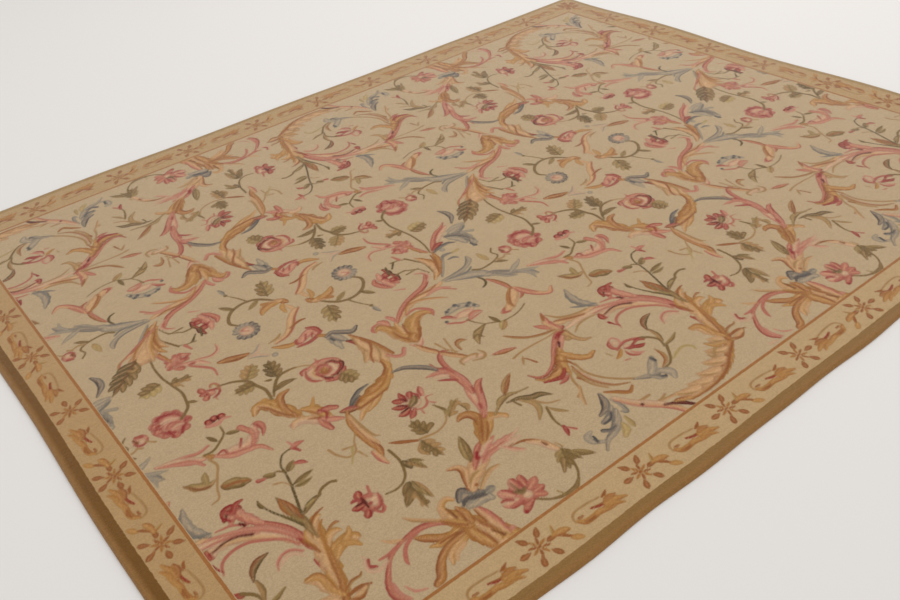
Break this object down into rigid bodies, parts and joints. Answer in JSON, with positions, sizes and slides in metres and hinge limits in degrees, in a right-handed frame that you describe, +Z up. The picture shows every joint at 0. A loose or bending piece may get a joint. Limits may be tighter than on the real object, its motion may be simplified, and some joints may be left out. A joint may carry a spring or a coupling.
{
  "type": "rug",
  "caption": "Large flat rectangular pile rug with scrolling leaf and rose field, ochre border and olive edge band, lying on a floor.",
  "frame": {"origin": "on the floor under the centre of the rug", "axes": "+X along the rug's length, +Y across it towards the far long side, +Z up through the pile"},
  "size_m": [3.0495, 2.44, 0.0155],
  "materials": {
    "wool_pile": "dense cut wool pile, matte, with woven scrolls, leaves and roses"
  },
  "bodies": {
    "root": {"rug": "wool_pile"}
  },
  "joints": []
}
